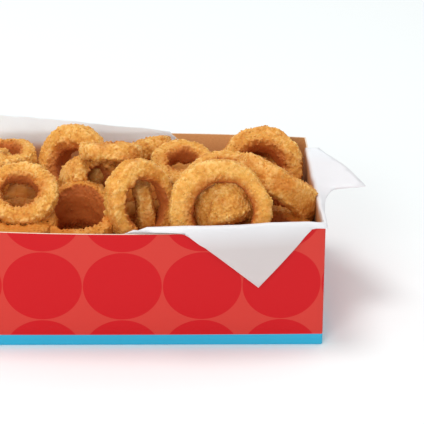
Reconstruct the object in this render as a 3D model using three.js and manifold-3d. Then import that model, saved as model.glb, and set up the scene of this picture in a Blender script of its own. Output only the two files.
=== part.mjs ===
// Onion rings side: a paperboard dinner box, lined with one deli sheet and heaped with breaded onion rings.
//
// Millimetres, +Z up. The origin is the middle of the underside of the box; X runs along the box and the
// front wall faces -Y. The box stands on its flat floor and nothing in it moves.

import * as THREE from "three";
import { mergeVertices } from "three/addons/utils/BufferGeometryUtils.js";
import Module from "manifold-3d";

const wasm = await Module();
wasm.setup();

// ---------------------------------------------------------------- driving sizes

const boxLength = 228.6; // a 9 x 5 x 3 inch dinner box
const boxWidth = 127;
const boxHeight = 74;
const boardThickness = 0.9;
const frontBow = 8.3; // the heap pushes the long walls out at the rim
const backBow = 6.5;
const endLeanFront = 0.9; // the end walls lean in a little, more towards the back
const endLeanBack = 2.5;

const sheetThickness = 0.7; // the deli sheet, thickened so that it stays one sound body
const sheetClearance = 0.5; // between the sheet and the board
const gap = 0.35; // kept between pieces that lie on each other

const wallStations = { front: 14, right: 2, back: 14, left: 2 }; // faces along each wall of the box
const wallRows = [0, 0.33, 0.67, 1]; // shares of the wall's height
const sheetWallRows = [0.35, 0.7, 1]; // the same for the sheet, up to where it turns over the rim
const sheetTurnRows = [1 / 3, 2 / 3, 1]; // shares of that turn
const sheetFlapRows = [0.5, 1]; // shares of the flap after it
const sheetColumnSpacing = 18; // at most, between the entries of the sheet's plan
const sheetRowGap = 0.84; // keeps the rows of a turn apart where the sheet stays flat

const roomHeight = 130; // above every ring
const bedFloor = 2.8; // just over the sheet
const bedInset = 5; // from the box's outer face to the packed rings
const bedEdgeHeight = 36;
const bedFrontTop = 47; // the packed rings rise towards the back
const bedBackTop = 60;
const bedFootInset = 7; // the same at its foot
const bedShoulderInset = 6.5; // where its sides turn over into its top
const bedShoulderDrop = 5;
const bedLump = 3.2; // height of the lumps in its top
const bedLumpLengths = { x: 7.5, y: 8, shiftX: 19, shiftY: 13 }; // and how far apart they lie
const bedStations = { front: 15, right: 8, back: 15, left: 8 };
const bedTopInsets = [12, 21, 31, 41, 50]; // the rows of points over its top

const ringSteps = 21; // faces round a ring
const ringSides = 7; // faces round its section
const sectionRoundness = 0.7; // 1 for a round section, less for one with flatter sides
const unevenTwice = 0.05; // how far a ring's section swells and shrinks, twice round it
const unevenThrice = 0.04; // and three times round it
const lumpShare = 0.03; // and in small lumps
const cragHeight = 0.7; // height of the crust's random relief
const firstSeed = 101; // for the first ring's random relief
const seedStep = 17; // from one ring to the next

const crust = { colour: 0xd99a4e, roughness: 0.75 };
const sheetPaper = { colour: 0xefecec, roughness: 0.55 };
const printedBoard = { colour: 0xcb3f38, roughness: 0.45 };

// Each ring that shows: the place of its middle, how far its axis leans from upright and which way
// (degrees from +X), its overall width, the radial band and the height of its section, how oval it is, how
// much it is bent, where round it (degrees from its lowest point) it is heaviest, and by what share. A later
// ring gives way where it meets an earlier one.
const ringPlan = [
  {
    name: "ring_front_right", at: [55.6, -47.5, 76], lean: 66, facing: -90,
    across: 60, band: 13, tall: 12.5, oval: 0.01, bend: 1, heavyAt: -75, heavyBy: 0.16,
  },
  {
    name: "ring_in_hole", at: [58, -28.5, 69.8], lean: 42, facing: 124,
    across: 44, band: 13, tall: 22, oval: 0, bend: 0.4, heavyAt: 180, heavyBy: 0.06,
  },
  {
    name: "ring_front_centre", at: [10.4, -34.5, 74.6], lean: 74, facing: -61,
    across: 47, band: 9.8, tall: 13.5, oval: 0.1, bend: 1, heavyAt: -100, heavyBy: 0.16,
  },
  {
    name: "ring_front_left", at: [-57, -38, 83], lean: 35, facing: -88,
    across: 39.5, band: 9.8, tall: 9.5, oval: -0.03, bend: 1, heavyAt: 100, heavyBy: 0.16,
  },
  {
    name: "ring_back_left", at: [-28.4, 17, 75.7], lean: 62, facing: -128,
    across: 47, band: 13.5, tall: 17, oval: 0.02, bend: 0.8, heavyAt: -90, heavyBy: 0.14,
  },
  {
    name: "ring_back_right", at: [82.5, 33, 65.8], lean: 46, facing: -85,
    across: 52, band: 13.2, tall: 16, oval: 0.03, bend: 1.2, heavyAt: 80, heavyBy: 0.12,
  },
  {
    name: "ring_right_wide", at: [88.5, -12, 76], lean: 40, facing: 38,
    across: 54, band: 11, tall: 18, oval: 0.03, bend: 0.4, heavyAt: 0, heavyBy: 0.1,
  },
  {
    name: "ring_back_centre", at: [35.5, 11, 77.5], lean: 16, facing: -88,
    across: 40, band: 11, tall: 11, oval: 0.03, bend: 0.6, heavyAt: -90, heavyBy: 0.12,
  },
  {
    name: "ring_behind_right", at: [57.5, -15, 79], lean: 13, facing: -90,
    across: 47, band: 13, tall: 18, oval: 0.02, bend: 0.6, heavyAt: 0, heavyBy: 0.12,
  },
  {
    name: "ring_centre", at: [-7, -6, 94.5], lean: 26, facing: 80,
    across: 37, band: 10, tall: 10, oval: 0.02, bend: 0.6, heavyAt: -60, heavyBy: 0.12,
  },
  {
    name: "ring_open_front", at: [-26, -35.6, 61.8], lean: 12, facing: -98,
    across: 50, band: 9, tall: 25, oval: 0.03, bend: 0.6, heavyAt: 180, heavyBy: 0.14,
  },
  {
    name: "ring_under_centre", at: [-17.5, -3, 72], lean: 62, facing: -44,
    across: 37, band: 9, tall: 20, oval: 0.02, bend: 0.6, heavyAt: -60, heavyBy: 0.12,
  },
  {
    name: "ring_small_on_edge", at: [12.6, -19, 66.5], lean: 84, facing: 4,
    across: 36, band: 11, tall: 9.5, oval: 0, bend: 0.4, heavyAt: 0, heavyBy: 0.1,
  },
  {
    name: "ring_small_back", at: [13.5, 40, 75], lean: 31, facing: 124,
    across: 34, band: 10, tall: 11, oval: 0.04, bend: 0.4, heavyAt: 90, heavyBy: 0.12,
  },
  {
    name: "ring_left_back", at: [-70, 22, 79], lean: 8, facing: 90,
    across: 40, band: 10, tall: 11.5, oval: 0.03, bend: 0.6, heavyAt: 0, heavyBy: 0.1,
  },
  {
    name: "ring_back_edge", at: [80, 50, 64], lean: 12, facing: -100,
    across: 38, band: 10, tall: 11, oval: 0.03, bend: 0.6, heavyAt: 0, heavyBy: 0.1,
  },
  {
    name: "ring_middle_right", at: [60, 24, 60], lean: 8, facing: 100,
    across: 46, band: 11.5, tall: 12, oval: 0.04, bend: 0.6, heavyAt: 0, heavyBy: 0.1,
  },
  {
    name: "ring_low_right", at: [88, -36, 57], lean: 12, facing: -60,
    across: 44, band: 12, tall: 12, oval: 0.03, bend: 0.6, heavyAt: 0, heavyBy: 0.1,
  },
  {
    name: "ring_low_front", at: [-58, -43, 66.5], lean: 6, facing: -90,
    across: 44, band: 12, tall: 12, oval: 0.03, bend: 0.6, heavyAt: 0, heavyBy: 0.1,
  },
  {
    name: "ring_end_front", at: [-89, -40, 74], lean: 38, facing: -120,
    across: 46, band: 12, tall: 13, oval: 0.03, bend: 0.8, heavyAt: 60, heavyBy: 0.12,
  },
  {
    name: "ring_end_middle", at: [-89, -2, 68], lean: 26, facing: -160,
    across: 48, band: 12, tall: 14, oval: 0.04, bend: 0.8, heavyAt: 0, heavyBy: 0.12,
  },
  {
    name: "ring_end_back", at: [-86, 39, 67], lean: 24, facing: 130,
    across: 48, band: 12.5, tall: 13, oval: 0.03, bend: 0.8, heavyAt: 90, heavyBy: 0.12,
  },
];

// The sheet, followed once round the box: side, place along it (0 to 1), how far under (-) or over (+) the
// rim it starts to turn, the radius and the angle of that turn, and the length of the flap after the turn.
const sheetPlan = [
  { side: "front", along: 0.0, start: -8, radius: 2, turn: 0, reach: 0 },
  { side: "front", along: 0.3, start: -5, radius: 2, turn: 0, reach: 0 },
  { side: "front", along: 0.5, start: -3, radius: 2, turn: 0, reach: 0 },
  { side: "front", along: 0.53, start: -0.5, radius: 2, turn: 20, reach: 0.5 },
  { side: "front", along: 0.56, start: 2.4, radius: 2, turn: 140, reach: 0.5 },
  { side: "front", along: 0.65, start: 3.4, radius: 2, turn: 176, reach: 1 },
  { side: "front", along: 0.83, start: 2.4, radius: 2, turn: 180, reach: 37 },
  { side: "front", along: 0.96, start: 1.9, radius: 2, turn: 178, reach: 1 },
  { side: "right", along: 0.0, start: 0.8, radius: 1.5, turn: 172, reach: 1 },
  { side: "right", along: 0.25, start: -0.2, radius: 1.6, turn: 150, reach: 2 },
  { side: "right", along: 0.36, start: -0.4, radius: 1.6, turn: 125, reach: 4 },
  { side: "right", along: 0.43, start: -0.5, radius: 1.8, turn: 105, reach: 9 },
  { side: "right", along: 0.46, start: -0.5, radius: 2, turn: 95, reach: 28 },
  { side: "right", along: 0.8, start: -0.4, radius: 1.8, turn: 90, reach: 7 },
  { side: "right", along: 0.82, start: -0.2, radius: 1.8, turn: 90, reach: 0.5 },
  { side: "right", along: 0.85, start: 0.2, radius: 2, turn: 0, reach: 0 },
  { side: "right", along: 0.9, start: -9, radius: 2, turn: 0, reach: 0 },
  { side: "back", along: 0.0, start: -14, radius: 2, turn: 0, reach: 0 },
  { side: "back", along: 0.2, start: -18, radius: 2, turn: 0, reach: 0 },
  { side: "back", along: 0.31, start: -12, radius: 2, turn: 0, reach: 0 },
  { side: "back", along: 0.37, start: -0.5, radius: 6, turn: 6, reach: 0 },
  { side: "back", along: 0.6, start: 0, radius: 8, turn: 10, reach: 4.5 },
  { side: "back", along: 0.8, start: 0, radius: 10, turn: 14, reach: 8.5 },
  { side: "back", along: 0.93, start: 0, radius: 10, turn: 20, reach: 12 },
  { side: "left", along: 0.0, start: 0, radius: 6, turn: 40, reach: 7 },
  { side: "left", along: 0.15, start: 0, radius: 3, turn: 80, reach: 5 },
  { side: "left", along: 0.35, start: -0.4, radius: 2.4, turn: 120, reach: 12 },
  { side: "left", along: 0.55, start: -0.4, radius: 2.2, turn: 140, reach: 30 },
  { side: "left", along: 0.8, start: -0.6, radius: 2, turn: 150, reach: 4 },
  { side: "left", along: 0.87, start: -0.4, radius: 2, turn: 90, reach: 0.5 },
  { side: "left", along: 0.91, start: 0, radius: 2, turn: 0, reach: 0 },
];
const sideNames = ["front", "right", "back", "left"];

// ---------------------------------------------------------------- helpers

function seededRandom(seed) {
  let state = seed;
  return () => {
    state = (state * 1664525 + 1013904223) % 4294967296;
    return state / 4294967296;
  };
}

// A point on the box's wall: side, place along it, height, and distance in from the outer face. The sides run
// counter-clockwise seen from above, from the front left corner.
function wallPoint(side, along, height, inset) {
  const rise = height / boxHeight;
  const frontX = boxLength / 2 - inset - endLeanFront * rise;
  const backX = boxLength / 2 - inset - endLeanBack * rise;
  const halfWidth = boxWidth / 2 - inset;
  const arch = 1 - (2 * along - 1) ** 2;
  const lerp = THREE.MathUtils.lerp;
  const places = {
    front: [lerp(-frontX, frontX, along), -halfWidth - frontBow * rise * arch],
    right: [lerp(frontX, backX, along), lerp(-halfWidth, halfWidth, along)],
    back: [lerp(backX, -backX, along), halfWidth + backBow * rise * arch],
    left: [lerp(-backX, -frontX, along), lerp(halfWidth, -halfWidth, along)],
  };
  return new THREE.Vector3(...places[side], height);
}

// Stations round the box, each corner once.
function stationsRound(counts) {
  const stations = [];
  for (const side of sideNames) {
    for (let i = 0; i < counts[side]; i++) {
      stations.push({ side, along: i / counts[side] });
    }
  }
  return stations;
}

// A closed body from rows of points that each run once round, with a fan at both ends. From row turnRow on,
// the quads are split the other way, so that the two faces of a sheet have matching triangles.
function bodyFromRows(firstPoint, rows, lastPoint, turnRow = Infinity) {
  const columns = rows[0].length;
  const positions = [firstPoint, ...rows.flat(), lastPoint].flatMap((point) => point.toArray());
  const index = (row, column) => 1 + row * columns + (column % columns);
  const last = 1 + rows.length * columns;
  const triangles = [];
  for (let c = 0; c < columns; c++) {
    triangles.push(0, index(0, c + 1), index(0, c));
    triangles.push(last, index(rows.length - 1, c), index(rows.length - 1, c + 1));
    for (let r = 0; r + 1 < rows.length; r++) {
      const [a, b, d, e] = [index(r, c), index(r, c + 1), index(r + 1, c), index(r + 1, c + 1)];
      triangles.push(...(r < turnRow ? [a, b, e, a, e, d] : [a, b, d, b, e, d]));
    }
  }
  const geometry = new THREE.BufferGeometry();
  geometry.setAttribute("position", new THREE.Float32BufferAttribute(positions, 3));
  geometry.setIndex(triangles);
  return geometry;
}

function mergedPositions(geometry) {
  const bare = geometry.clone();
  bare.deleteAttribute("normal");
  bare.deleteAttribute("uv");
  return mergeVertices(bare, 1e-5);
}

function solidFrom(geometry, matrix) {
  const merged = mergedPositions(geometry);
  merged.applyMatrix4(matrix);
  const vertProperties = Float32Array.from(merged.getAttribute("position").array);
  const triVerts = Uint32Array.from(merged.getIndex().array);
  return new wasm.Manifold(new wasm.Mesh({ numProp: 3, vertProperties, triVerts }));
}

function geometryFrom(solid, matrix) {
  const mesh = solid.getMesh();
  const geometry = new THREE.BufferGeometry();
  geometry.setAttribute("position", new THREE.Float32BufferAttribute(mesh.vertProperties, 3));
  geometry.setIndex([...mesh.triVerts]);
  return geometry.applyMatrix4(matrix.clone().invert());
}

// The biggest of the pieces that a cut leaves.
function mainPiece(solid) {
  const pieces = solid.decompose();
  return pieces.sort((a, b) => b.volume() - a.volume())[0];
}

function meshOf(name, geometry, { colour, roughness }) {
  const material = new THREE.MeshStandardMaterial({ color: colour, roughness, metalness: 0 });
  const mesh = new THREE.Mesh(geometry, material);
  mesh.name = name;
  return mesh;
}

// ---------------------------------------------------------------- box

function buildBox() {
  const stations = stationsRound(wallStations);
  const rowAt = (height, inset) => stations.map((s) => wallPoint(s.side, s.along, height, inset));
  const outside = wallRows.map((share) => rowAt(share * boxHeight, 0));
  const inside = wallRows.map((share) => rowAt(Math.max(share * boxHeight, boardThickness), boardThickness));
  const rows = [...outside, ...inside.reverse()];
  const under = new THREE.Vector3(0, 0, 0);
  const floor = new THREE.Vector3(0, 0, boardThickness);
  return meshOf("box", bodyFromRows(under, rows, floor), printedBoard);
}

// ---------------------------------------------------------------- deli sheet

// The plan's own entries, with evenly spaced ones between them where they lie far apart.
function sheetStations() {
  const placeOf = (entry) => sideNames.indexOf(entry.side) + entry.along;
  const lengths = { front: boxLength, right: boxWidth, back: boxLength, left: boxWidth };
  const closing = { ...sheetPlan[0], place: sideNames.length };
  const entries = [...sheetPlan.map((entry) => ({ ...entry, place: placeOf(entry) })), closing];
  const stations = [];
  for (let i = 0; i + 1 < entries.length; i++) {
    const [here, next] = [entries[i], entries[i + 1]];
    const length = (next.place - here.place) * lengths[here.side];
    const steps = Math.max(1, Math.ceil(length / sheetColumnSpacing));
    for (let step = 0; step < steps; step++) {
      const t = step / steps;
      const mix = (key) => THREE.MathUtils.lerp(here[key], next[key], t);
      const place = mix("place");
      const station = { side: sideNames[Math.floor(place)], along: place % 1 };
      for (const key of ["start", "radius", "turn", "reach"]) {
        station[key] = mix(key);
      }
      stations.push(station);
    }
  }
  return stations;
}

// One column of the sheet: up the wall, round the rim and on. Returns its points and its face directions.
function sheetColumn(plan) {
  const { side, along } = plan;
  const inset = boardThickness + sheetClearance + sheetThickness / 2;
  const foot = wallPoint(side, along, inset, inset);
  const top = wallPoint(side, along, boxHeight, inset);
  const up = top.clone().sub(foot).normalize();
  const outward = wallPoint(side, along, boxHeight, inset - 1).sub(top);
  outward.addScaledVector(up, -outward.dot(up)).normalize();
  const points = [foot];
  const outs = [outward.clone().sub(up).normalize()];
  const startPoint = top.clone().addScaledVector(up, plan.start);
  for (const share of sheetWallRows) {
    points.push(foot.clone().lerp(startPoint, share));
    outs.push(outward);
  }
  const turn = THREE.MathUtils.degToRad(plan.turn);
  const centre = startPoint.clone().addScaledVector(outward, plan.radius);
  const stretch = sheetRowGap * (1 - plan.turn / 180) + 0.01;
  for (const share of sheetTurnRows) {
    const angle = turn * share;
    const out = outward.clone().multiplyScalar(Math.cos(angle)).addScaledVector(up, -Math.sin(angle));
    points.push(centre.clone().addScaledVector(out, -plan.radius).addScaledVector(up, stretch * share));
    outs.push(out);
  }
  const last = points.at(-1).clone();
  const onward = up.clone().multiplyScalar(Math.cos(turn)).addScaledVector(outward, Math.sin(turn));
  for (const share of sheetFlapRows) {
    points.push(last.clone().addScaledVector(onward, share * (plan.reach + sheetThickness / 2)));
    outs.push(outs.at(-1));
  }
  return { points, outs };
}

function buildSheet() {
  const columns = sheetStations().map(sheetColumn);
  const rowCount = columns[0].points.length;
  const rowAt = (row, side) =>
    columns.map((c) => c.points[row].clone().addScaledVector(c.outs[row], (side * sheetThickness) / 2));
  const rows = [];
  for (let row = 0; row < rowCount; row++) {
    rows.push(rowAt(row, 1));
  }
  for (let row = rowCount - 1; row >= 0; row--) {
    rows.push(rowAt(row, -1));
  }
  const middle = boardThickness + sheetClearance;
  const under = new THREE.Vector3(0, 0, middle);
  const over = new THREE.Vector3(0, 0, middle + sheetThickness);
  return meshOf("liner_sheet", bodyFromRows(under, rows, over, rowCount - 1), sheetPaper);
}

// ---------------------------------------------------------------- onion rings

// Flattens a circle's sides, for a section like a slice of onion: a rectangle with well rounded corners.
function squared(value) {
  return Math.sign(value) * Math.abs(value) ** sectionRoundness;
}

// A breaded ring lying flat round the origin: a torus with an uneven band, a craggy crust, an oval outline and
// a slight bend. grow swells it on all sides.
function ringGeometry(plan, seed, steps, sides, grow = 0) {
  const random = seededRandom(seed);
  const middle = (plan.across - plan.band) / 2;
  const geometry = mergedPositions(new THREE.TorusGeometry(middle, plan.band / 2, sides, steps));
  const phases = [0, 1, 2, 3, 4].map(() => random() * 2 * Math.PI);
  const places = geometry.getAttribute("position");
  const point = new THREE.Vector3();
  for (let i = 0; i < places.count; i++) {
    point.fromBufferAttribute(places, i);
    const round = Math.atan2(point.y, point.x);
    const outward = Math.hypot(point.x, point.y) - middle;
    const section = Math.atan2(point.z, outward);
    const heavy = plan.heavyBy * Math.cos(round - THREE.MathUtils.degToRad(plan.heavyAt));
    const twice = unevenTwice * Math.sin(2 * round + phases[0]);
    const thrice = unevenThrice * Math.sin(3 * round + phases[1]);
    const lumps = Math.sin(5 * round + 2 * section + phases[2]) + Math.sin(7 * round - section + phases[3]);
    const crag = cragHeight * (random() - 0.5);
    const swell = 1 + heavy + twice + thrice + lumpShare * lumps;
    const across = (plan.band / 2) * swell + crag + grow;
    const upward = (plan.tall / 2) * swell + crag + grow;
    const reach = middle + across * squared(Math.cos(section));
    point.set(
      reach * Math.cos(round) * (1 + plan.oval),
      reach * Math.sin(round) * (1 - plan.oval),
      upward * squared(Math.sin(section)) + plan.bend * Math.cos(2 * round + phases[4]),
    );
    places.setXYZ(i, point.x, point.y, point.z);
  }
  return geometry;
}

function placeRing(object, plan) {
  const lean = THREE.MathUtils.degToRad(plan.lean);
  const facing = THREE.MathUtils.degToRad(plan.facing);
  object.position.set(...plan.at);
  object.rotation.set(0, lean, facing, "ZYX");
  object.updateMatrixWorld();
}

// The room inside the lined box, carried on above the rim.
function roomSolid() {
  const inset = boardThickness + sheetClearance + sheetThickness + gap;
  const stations = stationsRound(wallStations);
  const heights = [0, 0.25, 0.5, 0.75, 1].map((share) => Math.max(inset, share * roomHeight));
  const rows = heights.map((height) => stations.map((s) => wallPoint(s.side, s.along, height, inset)));
  const under = new THREE.Vector3(0, 0, inset);
  const over = new THREE.Vector3(0, 0, roomHeight);
  return solidFrom(bodyFromRows(under, rows, over), new THREE.Matrix4());
}

// The rings that show. Each is cut where it lies against the walls or against an earlier ring.
function buildRings() {
  const meshes = [];
  const grown = [];
  const room = roomSolid();
  ringPlan.forEach((plan, number) => {
    const seed = firstSeed + seedStep * number;
    const mesh = meshOf(plan.name, ringGeometry(plan, seed, ringSteps, ringSides), crust);
    placeRing(mesh, plan);
    let solid = solidFrom(mesh.geometry, mesh.matrixWorld).intersect(room);
    for (const other of grown) {
      solid = solid.subtract(other);
    }
    mesh.geometry = geometryFrom(mainPiece(solid), mesh.matrixWorld);
    grown.push(solidFrom(ringGeometry(plan, seed, ringSteps, ringSides, gap), mesh.matrixWorld));
    meshes.push(mesh);
  });
  return { meshes, grown };
}

// Height of the packed rings: a slope with lumps about as wide as a ring.
function bedHeight(x, y) {
  const slope = THREE.MathUtils.mapLinear(y, -boxWidth / 2, boxWidth / 2, bedFrontTop, bedBackTop);
  const alongX = Math.sin(x / bedLumpLengths.x + Math.sin(y / bedLumpLengths.shiftY));
  const alongY = Math.cos(y / bedLumpLengths.y + Math.sin(x / bedLumpLengths.shiftX));
  return slope + bedLump * alongX * alongY;
}

// The packed rings underneath the ones that show, as one lumpy body.
function buildBed(grownRings) {
  const stations = stationsRound(bedStations);
  const rowAt = (height, inset) => stations.map((s) => wallPoint(s.side, s.along, height, inset));
  const lumpyRowAt = (inset, drop) =>
    rowAt(bedBackTop, inset).map((point) => point.setZ(bedHeight(point.x, point.y) - drop));
  const rows = [
    rowAt(bedFloor, bedFootInset),
    rowAt(bedEdgeHeight, bedInset),
    lumpyRowAt(bedShoulderInset, bedShoulderDrop),
    ...bedTopInsets.map((inset) => lumpyRowAt(inset, 0)),
  ];
  const under = new THREE.Vector3(0, 0, bedFloor);
  const over = new THREE.Vector3(0, 0, bedHeight(0, 0));
  const still = new THREE.Matrix4();
  let solid = solidFrom(bodyFromRows(under, rows, over), still);
  for (const ring of grownRings) {
    solid = solid.subtract(ring);
  }
  return meshOf("ring_bed", geometryFrom(mainPiece(solid), still), crust);
}

// ---------------------------------------------------------------- assembly

const onionRingsSide = new THREE.Group();
const rings = buildRings();
onionRingsSide.add(buildBox(), buildSheet(), buildBed(rings.grown), ...rings.meshes);

export default onionRingsSide;
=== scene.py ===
# Onion rings side: breaded onion rings heaped in a printed paperboard dinner box lined with deli paper.
import math
import random
import bmesh
import bpy
import numpy as np
from mathutils import Matrix, Vector, noise


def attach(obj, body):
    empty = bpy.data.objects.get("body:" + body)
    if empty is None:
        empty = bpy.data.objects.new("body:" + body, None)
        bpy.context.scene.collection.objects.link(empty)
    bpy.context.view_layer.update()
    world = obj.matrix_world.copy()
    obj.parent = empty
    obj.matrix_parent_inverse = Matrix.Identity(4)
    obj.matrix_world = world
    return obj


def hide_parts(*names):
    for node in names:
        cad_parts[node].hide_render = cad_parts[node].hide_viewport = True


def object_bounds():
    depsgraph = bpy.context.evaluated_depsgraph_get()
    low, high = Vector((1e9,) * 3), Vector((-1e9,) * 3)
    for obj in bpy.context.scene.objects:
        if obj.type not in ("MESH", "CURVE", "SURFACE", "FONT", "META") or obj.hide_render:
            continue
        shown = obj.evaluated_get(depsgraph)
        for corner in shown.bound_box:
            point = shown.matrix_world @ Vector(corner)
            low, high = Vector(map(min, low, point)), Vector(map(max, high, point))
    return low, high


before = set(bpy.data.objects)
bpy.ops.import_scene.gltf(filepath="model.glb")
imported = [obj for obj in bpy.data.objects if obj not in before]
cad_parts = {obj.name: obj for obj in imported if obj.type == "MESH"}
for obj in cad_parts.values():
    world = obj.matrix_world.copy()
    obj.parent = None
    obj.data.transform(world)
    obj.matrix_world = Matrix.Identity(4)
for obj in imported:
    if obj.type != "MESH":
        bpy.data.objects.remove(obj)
cadLow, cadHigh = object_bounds()
print("frame loaded")

mm = 0.001  # lengths in the settings are in millimetres, but for the floor, the lamps and their aim
samePoint = 0.01  # corners of a solid that are nearer than this are one
boxSpare = 0.02  # how far the pieces stay inside the box round the solids
noiseSpan = (0.3, 0.7)  # where most values of a noise lie


def colour(hexText):
    # sRGB hex to the linear values that a shader takes
    parts = [int(hexText[i:i + 2], 16) / 255 for i in (1, 3, 5)]
    return (*[p / 12.92 if p <= 0.04045 else ((p + 0.055) / 1.055) ** 2.4 for p in parts], 1.0)


def addNode(tree, kind, inputs=(), **settings):
    # the inputs are a list in the node's own order, or a dictionary by name or number
    node = tree.nodes.new(kind)
    for key, value in settings.items():
        setattr(node, key, value)
    for key, value in inputs.items() if isinstance(inputs, dict) else enumerate(inputs):
        if isinstance(value, bpy.types.NodeSocket):
            tree.links.new(value, node.inputs[key])
        else:
            node.inputs[key].default_value = value
    return node


def newMaterial(name, constants):
    material = bpy.data.materials.new(name)
    material.use_nodes = True
    shader = material.node_tree.nodes["Principled BSDF"]
    for key, value in constants.items():
        shader.inputs[key].default_value = value
    return material, material.node_tree, shader


def between(first, second, share):
    return first + (second - first) * share


def newObject(name, data):
    piece = bpy.data.objects.new(name, data)
    bpy.context.scene.collection.objects.link(piece)
    return piece


def mergedCopy(node):
    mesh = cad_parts[node].data.copy()
    work = bmesh.new()
    work.from_mesh(mesh)
    bmesh.ops.remove_doubles(work, verts=work.verts, dist=samePoint * mm)
    for face in work.faces:
        face.smooth = True
    work.to_mesh(mesh)
    work.free()
    mesh.materials.clear()
    for layer in list(mesh.uv_layers):
        mesh.uv_layers.remove(layer)
    if mesh.has_custom_normals:
        mesh.normals_split_custom_set([(0, 0, 0)] * len(mesh.loops))
    return mesh


def addModifier(piece, kind, **settings):
    modifier = piece.modifiers.new(kind.lower(), kind)
    for key, value in settings.items():
        setattr(modifier, key, value)
    return modifier


def setInputs(modifier, tree, values):
    for item in tree.interface.items_tree:
        if item.item_type == "SOCKET" and item.in_out == "INPUT" and item.name in values:
            modifier[item.identifier] = values[item.name]


def applyModifiers(piece):
    # the modifiers' result as a plain mesh
    graph = bpy.context.evaluated_depsgraph_get()
    mesh = bpy.data.meshes.new_from_object(piece.evaluated_get(graph))
    piece.modifiers.clear()
    old = piece.data
    piece.data = mesh
    bpy.data.meshes.remove(old)


def readPoints(mesh, field):
    values = np.empty(len(mesh.vertices) * 3)
    mesh.vertices.foreach_get(field, values)
    return values.reshape(-1, 3)


def storeMarks(mesh, marks):
    for name, values in marks.items():
        attribute = mesh.attributes.new(name, "FLOAT", "POINT")
        attribute.data.foreach_set("value", values.astype(np.float32))


# Panko and flour crust fried in oil: golden crumb tips and deeper orange-brown creases, partly its own colour
# and partly painted highlight on the tips and painted shade in the creases, a thin oily sheen.
crustLook = {
    "crease": "#b86c2a", "middle": "#e09f47", "tip": "#f6c577", "brownedAndShaded": "#c87528", "inside": "#b8642f",
    "grainWidth": 0.5, "grainHeight": 0.12, "grainBump": 0.6, "roughness": (0.5, 0.7),
    # the relief over its darkest height, and the grain, make a tone that goes through three colours, painted
    # shade down in the creases and a painted highlight up on the tips
    "darkest": 0.25, "grainTone": 0.7, "middleTone": (0.0, 0.5), "tipTone": (0.5, 1.1),
    # the fried brown adds up from the sides between the two rims and from patches, with a painted shade over
    # the low part of the heap
    "rimFacing": (0.15, 0.75), "sideBrowning": 0.08, "paintedShadeHeights": (60.0, 78.0), "lowPaintedShade": 0.4,
    "patchWidth": 10.0, "patchNoise": (0.46, 0.7), "patchBrowning": 0.5, "mostBrowning": 0.9,
    # where a ring turns into its hole, first a brown lip and then the dark inside, partly the batter's own
    # browner colour there and partly painted shade in the hole
    "lipFacing": (-0.1, 0.55), "lipShare": 0.75, "insideFacing": (0.45, 0.85), "insideShare": 0.92,
}


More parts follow.
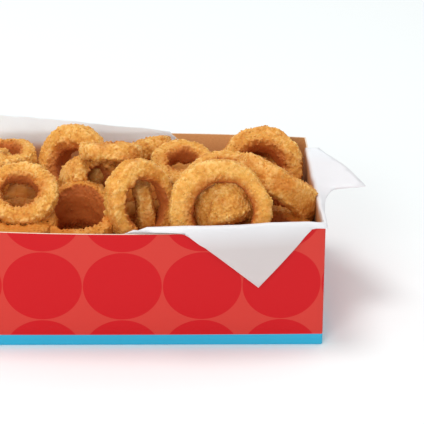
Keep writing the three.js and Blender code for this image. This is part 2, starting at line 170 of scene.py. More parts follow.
def makeCrust(look):
    material, tree, shader = newMaterial("fried crumb crust", {
        "IOR": 1.45, "Specular IOR Level": 0.18, "Subsurface Weight": 0.25,
        "Subsurface Radius": (1.0, 0.5, 0.2), "Subsurface Scale": 1.2 * mm,
    })
    place = addNode(tree, "ShaderNodeTexCoord").outputs["Object"]
    height = addNode(tree, "ShaderNodeSeparateXYZ", [place]).outputs[2]
    relief, browningAndPaintedLight, inner, rim = [
        addNode(tree, "ShaderNodeAttribute", attribute_name=name).outputs["Fac"]
        for name in ("relief", "browningAndPaintedLight", "inner", "rim")
    ]
    grain = addNode(tree, "ShaderNodeTexNoise",
                    {"Vector": place, "Scale": 1 / (look["grainWidth"] * mm), "Detail": 3.0}).outputs[0]
    patch = addNode(tree, "ShaderNodeTexNoise",
                    {"Vector": place, "Scale": 1 / (look["patchWidth"] * mm), "Detail": 2.0}).outputs[0]

    # painted shade and highlight: low relief takes the dark crease colour, high relief the light tip colour
    lifted = addNode(tree, "ShaderNodeMath", [relief, look["darkest"]], operation="SUBTRACT").outputs[0]
    tone = addNode(tree, "ShaderNodeMath", [grain, look["grainTone"], lifted],
                   operation="MULTIPLY_ADD").outputs[0]
    middle = addNode(tree, "ShaderNodeMapRange", [tone, *look["middleTone"]]).outputs[0]
    tip = addNode(tree, "ShaderNodeMapRange", [tone, *look["tipTone"]]).outputs[0]

    sides = addNode(tree, "ShaderNodeMapRange",
                    [rim, *look["rimFacing"], look["sideBrowning"], 0.0]).outputs[0]
    # painted shade: the lower a point lies in the heap, the browner it is painted
    shadeLow, shadeHigh = [level * mm for level in look["paintedShadeHeights"]]
    paintedShade = addNode(tree, "ShaderNodeMapRange",
                     [height, shadeLow, shadeHigh, look["lowPaintedShade"], 0.0]).outputs[0]
    patches = addNode(tree, "ShaderNodeMapRange", [patch, *look["patchNoise"], 0.0, look["patchBrowning"]],
                      interpolation_type="SMOOTHSTEP").outputs[0]
    summed = browningAndPaintedLight
    for more in (sides, paintedShade, patches):
        summed = addNode(tree, "ShaderNodeMath", [summed, more], operation="ADD").outputs[0]
    # the brown colour's share, which carries real frying colour and painted shade together
    brownedAndShaded = addNode(tree, "ShaderNodeMath", [summed, look["mostBrowning"]],
                      operation="MINIMUM").outputs[0]
    # painted shade into the hole over the batter's own browner colour there: first the lip, then the dark
    # inside
    lip = addNode(tree, "ShaderNodeMapRange",
                  [inner, *look["lipFacing"], 0.0, look["lipShare"]]).outputs[0]
    inside = addNode(tree, "ShaderNodeMapRange", [inner, *look["insideFacing"], 0.0, look["insideShare"]],
                     interpolation_type="SMOOTHSTEP").outputs[0]

    layers = [("middle", middle), ("tip", tip), ("brownedAndShaded", brownedAndShaded), ("brownedAndShaded", lip), ("inside", inside)]
    base = colour(look["crease"])
    for name, share in layers:
        base = addNode(tree, "ShaderNodeMix", {0: share, 6: base, 7: colour(look[name])},
                       data_type="RGBA").outputs[2]
    bump = addNode(tree, "ShaderNodeBump", {"Strength": look["grainBump"],
                                            "Distance": look["grainHeight"] * mm, "Height": grain}).outputs[0]
    sheen = addNode(tree, "ShaderNodeMapRange", [grain, *noiseSpan, *look["roughness"]]).outputs[0]
    tree.links.new(base, shader.inputs["Base Color"])
    tree.links.new(sheen, shader.inputs["Roughness"])
    tree.links.new(bump, shader.inputs["Normal"])
    return material


# Clay-coated paperboard printed in two reds and a blue under a satin varnish.
printLook = {
    "ground": "#cf3b32", "circle": "#c81119", "band": "#35afd3",
    "pitch": 45.0, "circleWidth": 44.4, "circleHeight": 39.8, "bandHeight": 7.0, "softness": 0.12,
    "fibreWidth": 0.9, "fibreHeight": 0.02, "fibreBump": 0.25, "roughness": (0.36, 0.46),
}


def makePrint(look):
    material, tree, shader = newMaterial("printed paperboard", {"Specular IOR Level": 0.18})
    wallMap = addNode(tree, "ShaderNodeUVMap", uv_map="wallMap").outputs[0]
    parts = addNode(tree, "ShaderNodeSeparateXYZ", [wallMap]).outputs
    above = addNode(tree, "ShaderNodeMath", [parts[1], look["circleHeight"]],
                    operation="SUBTRACT").outputs[0]
    half = look["pitch"] / 2
    across, upward = [addNode(tree, "ShaderNodeMath", [part, half, -half], operation="WRAP").outputs[0]
                      for part in (parts[0], above)]
    cell = addNode(tree, "ShaderNodeCombineXYZ", [across, upward]).outputs[0]
    reach = addNode(tree, "ShaderNodeVectorMath", [cell], operation="LENGTH").outputs["Value"]
    soft = look["softness"]
    radius = look["circleWidth"] / 2
    top = look["bandHeight"]
    circle = addNode(tree, "ShaderNodeMapRange", [reach, radius - soft, radius + soft, 1.0, 0.0]).outputs[0]
    band = addNode(tree, "ShaderNodeMapRange", [parts[1], top - soft, top + soft, 1.0, 0.0]).outputs[0]
    ink = colour(look["ground"])
    for name, share in (("circle", circle), ("band", band)):
        ink = addNode(tree, "ShaderNodeMix", {0: share, 6: ink, 7: colour(look[name])},
                      data_type="RGBA").outputs[2]

    place = addNode(tree, "ShaderNodeTexCoord").outputs["Object"]
    fibre = addNode(tree, "ShaderNodeTexNoise",
                    {"Vector": place, "Scale": 1 / (look["fibreWidth"] * mm), "Detail": 4.0}).outputs[0]
    bump = addNode(tree, "ShaderNodeBump", {"Strength": look["fibreBump"],
                                            "Distance": look["fibreHeight"] * mm, "Height": fibre}).outputs[0]
    sheen = addNode(tree, "ShaderNodeMapRange", [fibre, *noiseSpan, *look["roughness"]]).outputs[0]
    tree.links.new(ink, shader.inputs["Base Color"])
    tree.links.new(sheen, shader.inputs["Roughness"])
    tree.links.new(bump, shader.inputs["Normal"])
    return material


# Bare kraft board: brown, with short darker and lighter fibres, and paler where it is cut.
kraftLook = {
    "inside": {"dark": "#dea469", "pale": "#edb87c"}, "cut": {"dark": "#e3cdb4", "pale": "#f3e6d6"},
    "fibreWidth": 1.4, "fibreStretch": 4.0, "fibreHeight": 0.03, "fibreBump": 0.3,
    "fibreNoise": (0.35, 0.65),
}


def makeKraft(name, look, shades):
    material, tree, shader = newMaterial(name, {"Roughness": 0.8, "Specular IOR Level": 0.25})
    place = addNode(tree, "ShaderNodeTexCoord").outputs["Object"]
    stretched = addNode(tree, "ShaderNodeMapping",
                        {"Vector": place, "Scale": (1.0, 1.0, look["fibreStretch"])}).outputs[0]
    fibre = addNode(tree, "ShaderNodeTexNoise", {"Vector": stretched, "Scale": 1 / (look["fibreWidth"] * mm),
                                                 "Detail": 5.0, "Roughness": 0.65}).outputs[0]
    share = addNode(tree, "ShaderNodeMapRange", [fibre, *look["fibreNoise"]]).outputs[0]
    base = addNode(tree, "ShaderNodeMix", {0: share, 6: colour(shades["dark"]), 7: colour(shades["pale"])},
                   data_type="RGBA").outputs[2]
    bump = addNode(tree, "ShaderNodeBump", {"Strength": look["fibreBump"],
                                            "Distance": look["fibreHeight"] * mm, "Height": fibre}).outputs[0]
    tree.links.new(base, shader.inputs["Base Color"])
    tree.links.new(bump, shader.inputs["Normal"])
    return material


# Dry-waxed deli paper: thin, white, faintly shiny, with soft crumples, and a warm brown painted shade low in
# the box that stands for the rings' shade and the colour they reflect onto it.
paperLook = {
    "white": "#e9e9ec", "paintedLightBack": "#eff9ff", "onBoard": "#cec5c4", "warmShade": "#cd8d4a",
    "crumpleWidth": 14.0, "crumpleHeight": 0.5, "crumpleBump": 0.5,
    # how high the painted shade stands in the sheet, with an uneven edge
    "paintedShadeHeights": (66.5, 74.0), "paintedShadeShare": 0.9, "unevenWidth": 24.0, "unevenHeight": 6.0,
    # the heap lies against the right end up to its rim, so the painted shade climbs higher there
    "climbX": (104.0, 110.0), "climb": 6.0,
    # there is no painted shade outside the two ends and the front wall
    "endX": 112.8, "frontY": -63.0,
    # the print shows faintly through where the thin flap lies on the front wall
    "flapY": (-66.0, -65.0), "flapHeights": (64.0, 80.0),
    # painted light: towards the back the sheet is painted a paler, cooler white
    "backY": (20.0, 55.0),
}


def makePaper(look):
    material, tree, shader = newMaterial("waxed deli paper", {
        "Roughness": 0.55, "Specular IOR Level": 0.35, "Subsurface Weight": 0.4,
        "Subsurface Radius": (1.0, 1.0, 1.0), "Subsurface Scale": 1.5 * mm,
    })
    place = addNode(tree, "ShaderNodeTexCoord").outputs["Object"]
    x, y, z = addNode(tree, "ShaderNodeSeparateXYZ", [place]).outputs
    crumple = addNode(tree, "ShaderNodeTexNoise", {"Vector": place, "Scale": 1 / (look["crumpleWidth"] * mm),
                                                   "Detail": 3.0, "Roughness": 0.45}).outputs[0]
    uneven = addNode(tree, "ShaderNodeTexNoise",
                     {"Vector": place, "Scale": 1 / (look["unevenWidth"] * mm), "Detail": 2.0}).outputs[0]

    # painted shade and painted reflection: a warm brown rises from the bottom of the sheet to an uneven level
    height = addNode(tree, "ShaderNodeMath", [uneven, look["unevenHeight"] * mm, z],
                     operation="MULTIPLY_ADD").outputs[0]
    climbStart, climbEnd = [part * mm for part in look["climbX"]]
    climb = addNode(tree, "ShaderNodeMapRange",
                    [x, climbStart, climbEnd, 0.0, look["climb"] * mm]).outputs[0]
    level = addNode(tree, "ShaderNodeMath", [height, climb], operation="SUBTRACT").outputs[0]
    shadeLow, shadeHigh = [part * mm for part in look["paintedShadeHeights"]]
    paintedShade = addNode(tree, "ShaderNodeMapRange", [level, shadeLow, shadeHigh, look["paintedShadeShare"], 0.0],
                     interpolation_type="SMOOTHSTEP").outputs[0]
    fromMiddle = addNode(tree, "ShaderNodeMath", [x], operation="ABSOLUTE").outputs[0]
    betweenEnds = addNode(tree, "ShaderNodeMath", [fromMiddle, look["endX"] * mm],
                          operation="LESS_THAN").outputs[0]
    behindFront = addNode(tree, "ShaderNodeMath", [y, look["frontY"] * mm],
                          operation="GREATER_THAN").outputs[0]
    warmShade = paintedShade
    for limit in (betweenEnds, behindFront):
        warmShade = addNode(tree, "ShaderNodeMath", [warmShade, limit], operation="MULTIPLY").outputs[0]

    flapStart, flapEnd = [part * mm for part in look["flapY"]]
    outside = addNode(tree, "ShaderNodeMapRange", [y, flapStart, flapEnd, 1.0, 0.0]).outputs[0]
    flapLow, flapHigh = [part * mm for part in look["flapHeights"]]
    low = addNode(tree, "ShaderNodeMapRange", [z, flapLow, flapHigh, 1.0, 0.0]).outputs[0]
    onBoard = addNode(tree, "ShaderNodeMath", [outside, low], operation="MULTIPLY").outputs[0]
    # painted light on the back part of the sheet
    atBack = addNode(tree, "ShaderNodeMapRange", [y, *[part * mm for part in look["backY"]]]).outputs[0]
    base = colour(look["white"])
    for name, share in (("paintedLightBack", atBack), ("onBoard", onBoard), ("warmShade", warmShade)):
        base = addNode(tree, "ShaderNodeMix", {0: share, 6: base, 7: colour(look[name])},
                       data_type="RGBA").outputs[2]
    bump = addNode(tree, "ShaderNodeBump",
                   {"Strength": look["crumpleBump"], "Distance": look["crumpleHeight"] * mm,
                    "Height": crumple}).outputs[0]
    tree.links.new(base, shader.inputs["Base Color"])
    tree.links.new(bump, shader.inputs["Normal"])
    return material


crust = makeCrust(crustLook)
printed = makePrint(printLook)
kraft = makeKraft("kraft board inside", kraftLook, kraftLook["inside"])
cutEdge = makeKraft("cut board edge", kraftLook, kraftLook["cut"])
paper = makePaper(paperLook)
print("materials made")

# The crust that goes over every ring: grains of three sizes on low lumps, ragged edges and loose crumbs.
coatPlan = {
    "seedShift": (0.137, 0.071, 0.0),
    # for each size of grain, its width beside the given one, its share of the height and a shift
    "grains": {"coarse": (1.9, 0.35, 0.0), "fine": (1.0, 0.45, 0.3), "knobs": (3.3, 0.35, 0.7)},
    "grainFall": -1.9,
    # rough and smooth patches, smoothest round the hole, where the onion lay
    "patchWidth": 7.5, "patchNoise": (0.36, 0.6), "patchRough": (0.6, 1.1), "rimFacing": (0.3, 0.9),
    "sideRough": 0.1, "smoothFacing": (0.5, 0.95), "smoothest": 0.3,
    # a ragged edge where a rim turns into the hole, and a lower one where it turns outwards
    "holeEdge": {"start": (0.15, 0.5), "stop": (0.6, 0.9), "most": 1.0},
    "outerEdge": {"start": (0.2, 0.5), "stop": (0.65, 0.9), "most": 0.45},
    "raggedWidth": 2.4, "raggedNoise": (0.46, 0.62), "edgeHeight": 1.9, "meanRelief": 0.6,
    "crumbDensity": 1.2, "crumbRough": 0.5, "crumbLeast": (0.4, 0.4, 0.35), "crumbMost": (1.7, 1.4, 1.1),
    "jagWidth": 0.8, "jagHeight": 0.9, "jagNoise": (0.35, 0.65), "crumbShade": (0.3, 0.85),
    "squashDepth": 4.0,
}
coatSockets = {
    "Geometry": "NodeSocketGeometry", "Swell": "NodeSocketFloat", "Lump Width": "NodeSocketFloat",
    "Lump Height": "NodeSocketFloat", "Grain Width": "NodeSocketFloat", "Grain Height": "NodeSocketFloat",
    "Crumb Size": "NodeSocketFloat", "Crumb Spacing": "NodeSocketFloat", "Contrast": "NodeSocketFloat",
    "Browning And Painted Light": "NodeSocketFloat", "Seed": "NodeSocketInt", "Crust": "NodeSocketMaterial",
}


def crumbCoat(plan):
    tree = bpy.data.node_groups.new("crumb coat", "GeometryNodeTree")
    for name, kind in coatSockets.items():
        tree.interface.new_socket(name, in_out="INPUT", socket_type=kind)
    tree.interface.new_socket("Geometry", in_out="OUTPUT", socket_type="NodeSocketGeometry")
    given = addNode(tree, "NodeGroupInput").outputs
    place = addNode(tree, "GeometryNodeInputPosition").outputs[0]
    normal = addNode(tree, "GeometryNodeInputNormal").outputs[0]
    inner, rim = [
        addNode(tree, "GeometryNodeInputNamedAttribute", {"Name": name}, data_type="FLOAT").outputs[0]
        for name in ("inner", "rim")
    ]
    shift = addNode(tree, "ShaderNodeCombineXYZ", [given["Seed"], given["Seed"]]).outputs[0]
    moved = addNode(tree, "ShaderNodeVectorMath", [shift, plan["seedShift"], place],
                    operation="MULTIPLY_ADD").outputs[0]

    rough = addNode(tree, "ShaderNodeTexNoise",
                    {"Vector": moved, "Scale": 1 / (plan["patchWidth"] * mm), "Detail": 2.0}).outputs[0]
    patches = addNode(tree, "ShaderNodeMapRange",
                      [rough, *plan["patchNoise"], *plan["patchRough"]]).outputs[0]
    sides = addNode(tree, "ShaderNodeMapRange",
                    [rim, *plan["rimFacing"], plan["sideRough"], 0.0]).outputs[0]
    uneven = addNode(tree, "ShaderNodeMath", [patches, sides], operation="ADD").outputs[0]
    smoothed = addNode(tree, "ShaderNodeMapRange",
                       [inner, *plan["smoothFacing"], 1.0, plan["smoothest"]]).outputs[0]
    roughness = addNode(tree, "ShaderNodeMath", [uneven, smoothed], operation="MULTIPLY").outputs[0]

    # round grains: one minus the squared distance to the nearest cell centre
    small = 0.0
    for times, share, shiftX in plan["grains"].values():
        width = addNode(tree, "ShaderNodeMath", [given["Grain Width"], times],
                        operation="MULTIPLY").outputs[0]
        scale = addNode(tree, "ShaderNodeMath", [1.0, width], operation="DIVIDE").outputs[0]
        shifted = addNode(tree, "ShaderNodeVectorMath", [moved, (shiftX, 0.0, 0.0)],
                          operation="ADD").outputs[0]
        distance = addNode(tree, "ShaderNodeTexVoronoi", {"Vector": shifted, "Scale": scale},
                           feature="F1").outputs["Distance"]
        squared = addNode(tree, "ShaderNodeMath", [distance, 2.0], operation="POWER").outputs[0]
        dome = addNode(tree, "ShaderNodeMath", [squared, plan["grainFall"], 1.0],
                       operation="MULTIPLY_ADD").outputs[0]
        grain = addNode(tree, "ShaderNodeMath", [dome, 0.0], operation="MAXIMUM").outputs[0]
        small = addNode(tree, "ShaderNodeMath", [grain, share, small],
                        operation="MULTIPLY_ADD").outputs[0]
    grainy = addNode(tree, "ShaderNodeMath", [small, roughness], operation="MULTIPLY").outputs[0]

    edges = []
    for facing, ends in ((inner, plan["holeEdge"]), (rim, plan["outerEdge"])):
        start = addNode(tree, "ShaderNodeMapRange", [facing, *ends["start"], 0.0, ends["most"]],
                        interpolation_type="SMOOTHSTEP").outputs[0]
        stop = addNode(tree, "ShaderNodeMapRange", [facing, *ends["stop"], 1.0, 0.0],
                       interpolation_type="SMOOTHSTEP").outputs[0]
        edges.append(addNode(tree, "ShaderNodeMath", [start, stop], operation="MULTIPLY").outputs[0])
    either = addNode(tree, "ShaderNodeMath", edges, operation="MAXIMUM").outputs[0]
    ragged = addNode(tree, "ShaderNodeTexNoise",
                     {"Vector": moved, "Scale": 1 / (plan["raggedWidth"] * mm), "Detail": 2.0}).outputs[0]
    broken = addNode(tree, "ShaderNodeMapRange", [ragged, *plan["raggedNoise"]]).outputs[0]
    edge = addNode(tree, "ShaderNodeMath", [either, broken], operation="MULTIPLY").outputs[0]
    relief = addNode(tree, "ShaderNodeMath", [edge, plan["edgeHeight"], grainy],
                     operation="MULTIPLY_ADD").outputs[0]

    lumpScale = addNode(tree, "ShaderNodeMath", [1.0, given["Lump Width"]], operation="DIVIDE").outputs[0]
    lumps = addNode(tree, "ShaderNodeTexNoise",
                    {"Vector": moved, "Scale": lumpScale, "Detail": 2.0}).outputs[0]
    centred = addNode(tree, "ShaderNodeMath", [lumps, 0.5], operation="SUBTRACT").outputs[0]
    raised = addNode(tree, "ShaderNodeMath", [centred, given["Lump Height"], given["Swell"]],
                     operation="MULTIPLY_ADD").outputs[0]
    swollen = addNode(tree, "ShaderNodeMath", [relief, given["Grain Height"], raised],
                      operation="MULTIPLY_ADD").outputs[0]
    offset = addNode(tree, "ShaderNodeVectorMath", {0: normal, "Scale": swollen},
                     operation="SCALE").outputs[0]
    # a smoother ring is more even in colour too
    beside = addNode(tree, "ShaderNodeMath", [relief, plan["meanRelief"]], operation="SUBTRACT").outputs[0]
    evened = addNode(tree, "ShaderNodeMath", [beside, given["Contrast"], plan["meanRelief"]],
                     operation="MULTIPLY_ADD").outputs[0]
    stored = addNode(tree, "GeometryNodeStoreNamedAttribute",
                     {"Geometry": given["Geometry"], "Name": "relief", "Value": evened},
                     data_type="FLOAT", domain="POINT").outputs[0]
    skin = addNode(tree, "GeometryNodeSetPosition", {"Geometry": stored, "Offset": offset}).outputs[0]

    # loose crumbs, half sunk in the skin
    spacing = given["Crumb Spacing"]
    area = addNode(tree, "ShaderNodeMath", [spacing, 2.0], operation="POWER").outputs[0]
    density = addNode(tree, "ShaderNodeMath", [plan["crumbDensity"], area], operation="DIVIDE").outputs[0]
    factor = addNode(tree, "ShaderNodeMath", [roughness, plan["crumbRough"], edge],
                     operation="MULTIPLY_ADD").outputs[0]
    spots = addNode(tree, "GeometryNodeDistributePointsOnFaces",
                    {"Mesh": skin, "Distance Min": spacing, "Density Max": density,
                     "Density Factor": factor, "Seed": given["Seed"]},
                    distribute_method="POISSON").outputs["Points"]
    ball = addNode(tree, "GeometryNodeMeshIcoSphere",
                   {"Radius": given["Crumb Size"], "Subdivisions": 1}).outputs["Mesh"]
    fullTurn = 6.28
    sizes, turns = [
        addNode(tree, "FunctionNodeRandomValue", {"Min": least, "Max": most, "Seed": given["Seed"]},
                data_type="FLOAT_VECTOR").outputs[0]
        for least, most in ((plan["crumbLeast"], plan["crumbMost"]), ((0.0,) * 3, (fullTurn,) * 3))
    ]
    placed = addNode(tree, "GeometryNodeInstanceOnPoints",
                     {"Points": spots, "Instance": ball, "Rotation": turns, "Scale": sizes}).outputs[0]
    loose = addNode(tree, "GeometryNodeRealizeInstances", {"Geometry": placed}).outputs[0]
    wobble = addNode(tree, "ShaderNodeTexNoise",
                     {"Vector": place, "Scale": 1 / (plan["jagWidth"] * mm), "Detail": 1.0}).outputs
    aside = addNode(tree, "ShaderNodeVectorMath", [wobble["Color"], (0.5, 0.5, 0.5)],
                    operation="SUBTRACT").outputs[0]
    jag = addNode(tree, "ShaderNodeVectorMath", {0: aside, "Scale": plan["jagHeight"] * mm},
                  operation="SCALE").outputs[0]
    jagged = addNode(tree, "GeometryNodeSetPosition", {"Geometry": loose, "Offset": jag}).outputs[0]
    shade = addNode(tree, "ShaderNodeMapRange",
                    [wobble[0], *plan["jagNoise"], *plan["crumbShade"]]).outputs[0]
    crumbs = addNode(tree, "GeometryNodeStoreNamedAttribute",
                     {"Geometry": jagged, "Name": "relief", "Value": shade},
                     data_type="FLOAT", domain="POINT").outputs[0]
    both = addNode(tree, "GeometryNodeJoinGeometry")
    tree.links.new(crumbs, both.inputs[0])
    tree.links.new(skin, both.inputs[0])
    # the ring's brown value, which also carries painted light and shade, goes on every point
    toned = addNode(tree, "GeometryNodeStoreNamedAttribute",
                    {"Geometry": both.outputs[0], "Name": "browningAndPaintedLight", "Value": given["Browning And Painted Light"]},
                    data_type="FLOAT", domain="POINT").outputs[0]
    whole = addNode(tree, "GeometryNodeRealizeInstances", {"Geometry": toned}).outputs[0]
    dressed = addNode(tree, "GeometryNodeSetMaterial",
                      {"Geometry": whole, "Material": given["Crust"]}).outputs[0]
    addNode(tree, "NodeGroupOutput", {"Geometry": dressed})
    return tree


coat = crumbCoat(coatPlan)

ringLook = {
    "voxel": 0.95, "smoothing": 9, "swell": 0.3, "lumpWidth": 8.0, "lumpHeight": 3.0, "grainWidth": 1.3,
    "grainHeight": 0.85, "crumbSize": 0.62, "crumbSpacing": 1.55, "firstSeed": 11,
}
# how brown each ring is, from -0.2 light golden to 0.6 deep brown, partly its own frying and partly painted
# light and shade for how it lies in the heap, and how rough beside the common height
ringCrust = {
    "ring_front_right": (-0.08, 0.55), "ring_in_hole": (0.0, 1.05), "ring_front_centre": (-0.02, 0.7),
    "ring_front_left": (0.06, 1.0), "ring_back_left": (-0.2, 0.8), "ring_back_right": (0.12, 0.85),
    "ring_right_wide": (0.22, 0.95), "ring_back_centre": (-0.1, 0.8), "ring_behind_right": (0.1, 0.9),
    "ring_centre": (0.08, 1.0), "ring_open_front": (0.35, 0.9), "ring_under_centre": (0.05, 1.0),
    "ring_small_on_edge": (0.05, 1.0), "ring_small_back": (0.08, 1.0), "ring_left_back": (-0.2, 0.9),
    "ring_back_edge": (0.2, 1.0), "ring_middle_right": (0.2, 1.0), "ring_low_right": (0.22, 1.0),
    "ring_low_front": (0.6, 0.9), "ring_end_front": (0.04, 1.0), "ring_end_middle": (0.16, 1.0),
    "ring_end_back": (0.08, 1.0),
}


def squashUnder(mesh, top, depth):
    # keeps the crumbs on the highest ring inside the height of the solids
    highest = max(v.co.z for v in mesh.vertices)
    if highest <= top:
        return
    for vertex in mesh.vertices:
        over = vertex.co.z - (top - depth)
        if over > 0:
            vertex.co.z = top - depth + over * depth / (depth + highest - top)


def markFaces(mesh):
    # how far each point faces the ring's own axis (1 in the hole, -1 outside), and along it (1 on the rims)
    places, normals = readPoints(mesh, "co"), readPoints(mesh, "normal")
    places = places - places.mean(axis=0)
    axis = np.linalg.eigh(places.T @ places)[1][:, 0]
    outward = places - np.outer(places @ axis, axis)
    outward /= np.linalg.norm(outward, axis=1, keepdims=True)
    storeMarks(mesh, {"inner": -(normals * outward).sum(axis=1), "rim": np.abs(normals @ axis)})


def finishCrust(piece, look, seed, browningAndPaintedLight, rough):
    modifier = addModifier(piece, "NODES", node_group=coat)
    setInputs(modifier, coat, {
        "Swell": look["swell"] * mm, "Lump Width": look["lumpWidth"] * mm,
        "Lump Height": look["lumpHeight"] * mm, "Grain Width": look["grainWidth"] * mm,
        "Grain Height": look["grainHeight"] * rough * mm, "Crumb Size": look["crumbSize"] * mm,
        "Crumb Spacing": look["crumbSpacing"] * mm, "Contrast": rough, "Browning And Painted Light": browningAndPaintedLight,
        "Seed": seed, "Crust": crust,
    })
    applyModifiers(piece)
    squashUnder(piece.data, cadHigh.z - boxSpare * mm, coatPlan["squashDepth"] * mm)
    piece.data.shade_smooth()


def makeRing(node, number):
    look = ringLook
    piece = newObject("breaded_" + node, mergedCopy(node))
    addModifier(piece, "REMESH", mode="VOXEL", voxel_size=look["voxel"] * mm)
    addModifier(piece, "SMOOTH", factor=0.5, iterations=look["smoothing"])
    addModifier(piece, "SUBSURF", levels=1, render_levels=1)
    applyModifiers(piece)
    markFaces(piece.data)
    # the ring's own brown together with the painted light and shade for where it lies
    browningAndPaintedLight, rough = ringCrust[node]
    finishCrust(piece, look, look["firstSeed"] + number, browningAndPaintedLight, rough)
    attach(piece, "root")
    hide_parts(node)


for number, node in enumerate(ringCrust):
    makeRing(node, number)
print("rings made")

# Under the rings that show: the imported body, with limbs of buried rings standing out of its top.
bedLook = {
    "voxel": 1.4, "smoothing": 4, "swell": 0.0, "lumpWidth": 7.0, "lumpHeight": 2.6, "grainWidth": 1.9,
    "grainHeight": 0.8, "crumbSize": 0.6, "crumbSpacing": 2.4, "coatSeed": 71, "browningAndPaintedLight": 0.1, "rough": 1.0,
    # the buried rings lie in rows that rise from the front of the heap to its back
    "columns": 6, "rows": 4, "reachX": 84.0, "reachY": 36.0, "front": 49.0, "back": 59.0, "edgeY": 63.0,
    "seed": 5, "strayX": (-5, 5), "strayY": (-3, 3), "strayHeight": (-3, 1), "lean": (0.05, 0.4),
    "facing": (0, 6.28), "middle": (14, 19), "section": (5, 6), "around": 36, "across": 12,
    # none right under the open ring, which one sees deep into
    "deepAt": (-26.0, -30.0), "deepReach": 30.0,
    # how far the crests stand over the middles of the rings, and how the gaps between them darken with
    # painted shade
    "crestOver": 3.5, "gapDepth": 7.0, "gapInner": 0.8, "rim": 0.8,
}


def heapHeight(look, y):
    return between(look["front"], look["back"], (y + look["edgeY"]) / (2 * look["edgeY"]))


def addTorus(work, look, place, lean, facing, middle, section):
    turn = Matrix.Rotation(facing, 4, "Z") @ Matrix.Rotation(lean, 4, "Y")
    loops = []
    for i in range(look["around"]):
        around = 2 * math.pi * i / look["around"]
        loop = []
        for j in range(look["across"]):
            up = 2 * math.pi * j / look["across"]
            reach = middle + section * math.cos(up)
            point = Vector((reach * math.cos(around), reach * math.sin(around), section * math.sin(up)))
            loop.append(work.verts.new((Vector(place) + turn @ point) * mm))
        loops.append(loop)
    for i in range(look["around"]):
        here, after = loops[i], loops[(i + 1) % look["around"]]
        for j in range(look["across"]):
            k = (j + 1) % look["across"]
            work.faces.new((here[j], after[j], after[k], here[k]))


def markGaps(mesh, look):
    # how deep each point lies in the gaps between the buried rings: 0 on their crests, more further down,
    # which the crust turns into painted shade
    places = readPoints(mesh, "co") / mm
    crest = heapHeight(look, places[:, 1]) + look["crestOver"]
    deep = np.clip((crest - places[:, 2]) / look["gapDepth"], 0, look["gapInner"])
    storeMarks(mesh, {"inner": deep, "rim": np.full(len(places), look["rim"])})


def makeBed():
    look = bedLook
    draw = random.Random(look["seed"])
    piece = newObject("breaded_packed_rings", mergedCopy("ring_bed"))
    work = bmesh.new()
    work.from_mesh(piece.data)
    for column in range(look["columns"]):
        for row in range(look["rows"]):
            x = between(-look["reachX"], look["reachX"], column / (look["columns"] - 1))
            x += draw.uniform(*look["strayX"])
            y = between(-look["reachY"], look["reachY"], row / (look["rows"] - 1))
            y += draw.uniform(*look["strayY"])
            height = heapHeight(look, y) + draw.uniform(*look["strayHeight"])
            form = [draw.uniform(*look[name]) for name in ("lean", "facing", "middle", "section")]
            if math.dist((x, y), look["deepAt"]) > look["deepReach"]:
                addTorus(work, look, (x, y, height), *form)
    work.to_mesh(piece.data)
    work.free()
    addModifier(piece, "REMESH", mode="VOXEL", voxel_size=look["voxel"] * mm)
    addModifier(piece, "SMOOTH", factor=0.5, iterations=look["smoothing"])
    applyModifiers(piece)
    markGaps(piece.data, look)
    finishCrust(piece, look, look["coatSeed"], look["browningAndPaintedLight"], look["rough"])
    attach(piece, "root")
    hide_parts("ring_bed")


makeBed()
print("packed rings made")

# The box: printed board, folded at the corners, with walls that bow out and lean in, as in the solids.
boxPlan = {
    "length": 228.6, "width": 127.0, "height": 74.0, "board": 0.9, "frontBow": 8.3, "backBow": 6.5,
    "endLeanFront": 0.9, "endLeanBack": 2.5, "longFaces": 64, "shortFaces": 36, "rows": 12,
    "fold": 1.3, "foldLess": 0.6, "foldSteps": (0.25, 0.5, 0.75), "foldMap": 1.6,
    # height and inset of the rows at the rounded foot
    "foot": [(0.0, 0.6), (0.2, 0.15), (0.7, 0.0)],
    # the last step along the map at a corner, and the one spot of it that both sides of the floor take
    "cornerMap": 0.5, "floorMap": (0.0, 30.0), "sharpAngle": 40,
}
sideNames = ["front", "right", "back", "left"]


def wallPoint(side, along, height, inset):
    # the walls run counter-clockwise seen from above, from the front left corner
    p = boxPlan
    rise = height / p["height"]
    frontX = p["length"] / 2 - inset - p["endLeanFront"] * rise
    backX = p["length"] / 2 - inset - p["endLeanBack"] * rise
    half = p["width"] / 2 - inset
    arch = 1 - (2 * along - 1) ** 2
    if side == "front":
        x, y = between(-frontX, frontX, along), -half - p["frontBow"] * rise * arch
    elif side == "right":
        x, y = between(frontX, backX, along), between(-half, half, along)
    elif side == "back":
        x, y = between(backX, -backX, along), half + p["backBow"] * rise * arch
    else:
        x, y = between(-backX, -frontX, along), between(half, -half, along)
    return Vector((x, y, height))


def boxOutline(height, inset, fold):
    # points round the box with small folds at the corners, and each one's distance from its wall's middle
    points, marks = [], []
    for number, side in enumerate(sideNames):
        isLong = side in ("front", "back")
        length = boxPlan["length"] if isLong else boxPlan["width"]
        faces = boxPlan["longFaces"] if isLong else boxPlan["shortFaces"]
        nextSide = sideNames[(number + 1) % len(sideNames)]
        nextLength = boxPlan["width"] if isLong else boxPlan["length"]
        keep = fold / length
        for i in range(faces + 1):
            along = keep + (1 - 2 * keep) * i / faces
            points.append(wallPoint(side, along, height, inset))
            marks.append((number, (along - 0.5) * length))
        corner = wallPoint(side, 1, height, inset)
        after = wallPoint(nextSide, fold / nextLength, height, inset)
        before = points[-1]
        for step in boxPlan["foldSteps"]:
            curve = before * (1 - step) ** 2 + corner * 2 * step * (1 - step) + after * step ** 2
            points.append(curve)
            marks.append((number, length / 2 - fold + boxPlan["foldMap"] * fold * step))
    return points, marks


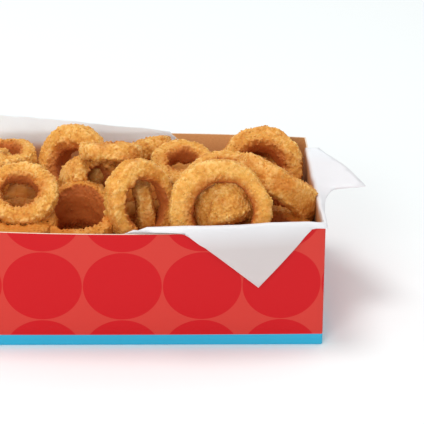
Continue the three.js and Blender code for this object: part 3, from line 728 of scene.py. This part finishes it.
def makeBox():
    p = boxPlan
    board = p["board"]
    levels = [p["height"] * i / p["rows"] for i in range(1, p["rows"] + 1)]
    outer = p["foot"] + [(level, 0.0) for level in levels]
    inner = [(level, board) for level in reversed(levels)] + [(board, board)]
    rows = [boxOutline(height, inset, p["fold"]) for height, inset in outer]
    rows += [boxOutline(height, inset, p["fold"] - p["foldLess"]) for height, inset in inner]
    heights = [height for height, inset in outer + inner]
    count = len(rows[0][0])
    vertices = [point * mm for row, marks in rows for point in row]
    faces, looks, maps = [], [], []
    rim = len(outer) - 1  # below it the print, at it the cut edge, then the brown inside
    for r in range(len(rows) - 1):
        marks = rows[r][1]
        low, high = heights[r], heights[r + 1]
        for c in range(count):
            n = (c + 1) % count
            faces.append((r * count + c, r * count + n, (r + 1) * count + n, (r + 1) * count + c))
            looks.append(0 if r < rim else 2 if r == rim else 1)
            start = marks[c][1]
            end = marks[n][1] if marks[n][0] == marks[c][0] else start + p["cornerMap"]
            maps.append([(start, low), (end, low), (end, high), (start, high)])
    faces.append(tuple(reversed(range(count))))
    faces.append(tuple(range((len(rows) - 1) * count, len(rows) * count)))
    looks += [0, 1]
    maps += [[p["floorMap"]] * count] * 2
    mesh = bpy.data.meshes.new("printed_box")
    mesh.from_pydata(vertices, [], faces)
    layer = mesh.uv_layers.new(name="wallMap")
    for face, look, corners in zip(mesh.polygons, looks, maps):
        face.material_index = look
        face.use_smooth = True
        for loop, corner in zip(face.loop_indices, corners):
            layer.data[loop].uv = corner
    for material in (printed, kraft, cutEdge):
        mesh.materials.append(material)
    mesh.set_sharp_from_angle(angle=math.radians(p["sharpAngle"]))
    piece = newObject("printed_box", mesh)
    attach(piece, "root")
    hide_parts("box")


makeBox()
print("box made")

# The deli sheet: the solid's own sheet made smooth between its folds, with ripples that are calm in the box.
sheetLook = {
    "levels": 2, "ripple": 0.9, "rippleWidth": 30.0, "wrinkle": 0.35, "wrinkleWidth": 9.0,
    "wrinkleShift": (7, 3, 1), "calmShare": 0.15, "calmUnderRim": 6.0, "foldAngle": 50, "cornerAngle": 25,
    "seed": 1,
}


def makeSheet():
    look = sheetLook
    spare = boxSpare * mm
    foldAngle = math.radians(look["foldAngle"])
    cornerAngle = math.radians(look["cornerAngle"])
    piece = newObject("deli_sheet", mergedCopy("liner_sheet"))
    work = bmesh.new()
    work.from_mesh(piece.data)
    crease = work.edges.layers.float.new("crease_edge")
    for edge in work.edges:
        if len(edge.link_faces) == 2 and edge.calc_face_angle(0) > foldAngle:
            edge[crease] = 1.0
    corner = work.verts.layers.float.new("crease_vert")
    for vertex in work.verts:
        ends = [edge.other_vert(vertex).co for edge in vertex.link_edges if edge[crease] == 1.0]
        if len(ends) == 2 and (ends[0] - vertex.co).angle(vertex.co - ends[1], 0) > cornerAngle:
            vertex[corner] = 1.0
    work.to_mesh(piece.data)
    work.free()
    addModifier(piece, "SUBSURF", levels=look["levels"], render_levels=look["levels"])
    applyModifiers(piece)
    noise.seed_set(look["seed"])  # without it the ripples depend on the clock
    for vertex in piece.data.vertices:
        at = vertex.co / mm
        # the field is much wider than the sheet is thick, so both faces move together
        soft = noise.noise_vector(at / look["rippleWidth"])
        small = noise.noise_vector(at / look["wrinkleWidth"] + Vector(look["wrinkleShift"]))
        inBox = at.z < boxPlan["height"] - look["calmUnderRim"]
        share = look["calmShare"] if inBox else 1.0
        moved = vertex.co + (soft * look["ripple"] + small * look["wrinkle"]) * share * mm
        vertex.co = [min(max(moved[i], cadLow[i] + spare), cadHigh[i] - spare) for i in range(3)]
    piece.data.materials.append(paper)
    piece.data.shade_smooth()
    piece.data.set_sharp_from_angle(angle=foldAngle)
    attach(piece, "root")
    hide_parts("liner_sheet")


makeSheet()
print("sheet made")

# A pale floor and two soft lamps in a white room, in metres and watts.
stagePlan = {
    "floorSize": 6.0, "floorColour": "#f9fefe", "worldStrength": 0.7, "aim": (0, 0, 0.06),
    "key": {"place": (-0.42, 0.05, 1.65), "size": 0.6, "power": 9.0},
    "fill": {"place": (-0.55, -1.45, 0.85), "size": 0.9, "power": 9.5},
}
cameraPlan = {"place": (-0.6, -1163.6, 608.7), "down": 25.5, "turn": 2.36, "lens": 186.8, "sensor": 36.0}


def makeStage():
    half = stagePlan["floorSize"] / 2
    corners = [(-half, -half, 0), (half, -half, 0), (half, half, 0), (-half, half, 0)]
    mesh = bpy.data.meshes.new("studio_floor")
    mesh.from_pydata(corners, [], [(0, 1, 2, 3)])
    floor = newObject("studio_floor", mesh)
    matt = {"Base Color": colour(stagePlan["floorColour"]), "Roughness": 0.9, "Specular IOR Level": 0.1}
    mesh.materials.append(newMaterial("pale studio floor", matt)[0])
    world = bpy.data.worlds.new("soft white room")
    world.use_nodes = True
    background = world.node_tree.nodes["Background"]
    background.inputs["Color"].default_value = (1, 1, 1, 1)
    background.inputs["Strength"].default_value = stagePlan["worldStrength"]
    bpy.context.scene.world = world
    for name in ("key", "fill"):
        plan = stagePlan[name]
        light = bpy.data.lights.new(name + " light", "AREA")
        light.shape = "DISK"
        light.size = plan["size"]
        light.energy = plan["power"]
        lamp = newObject(name + " light", light)
        lamp.location = plan["place"]
        aim = Vector(stagePlan["aim"]) - lamp.location
        lamp.rotation_euler = aim.to_track_quat("-Z", "Y").to_euler()


def makeCamera():
    data = bpy.data.cameras.new("camera")
    data.lens = cameraPlan["lens"]
    data.sensor_width = cameraPlan["sensor"]
    camera = newObject("camera", data)
    turn = Matrix.Rotation(math.radians(90 - cameraPlan["down"]), 4, "X")
    turn = turn @ Matrix.Rotation(math.radians(-cameraPlan["turn"]), 4, "Y")
    camera.matrix_world = Matrix.Translation(Vector(cameraPlan["place"]) * mm) @ turn
    bpy.context.scene.camera = camera


makeStage()
makeCamera()
bpy.context.scene.view_settings.view_transform = "Standard"
print("stage made")
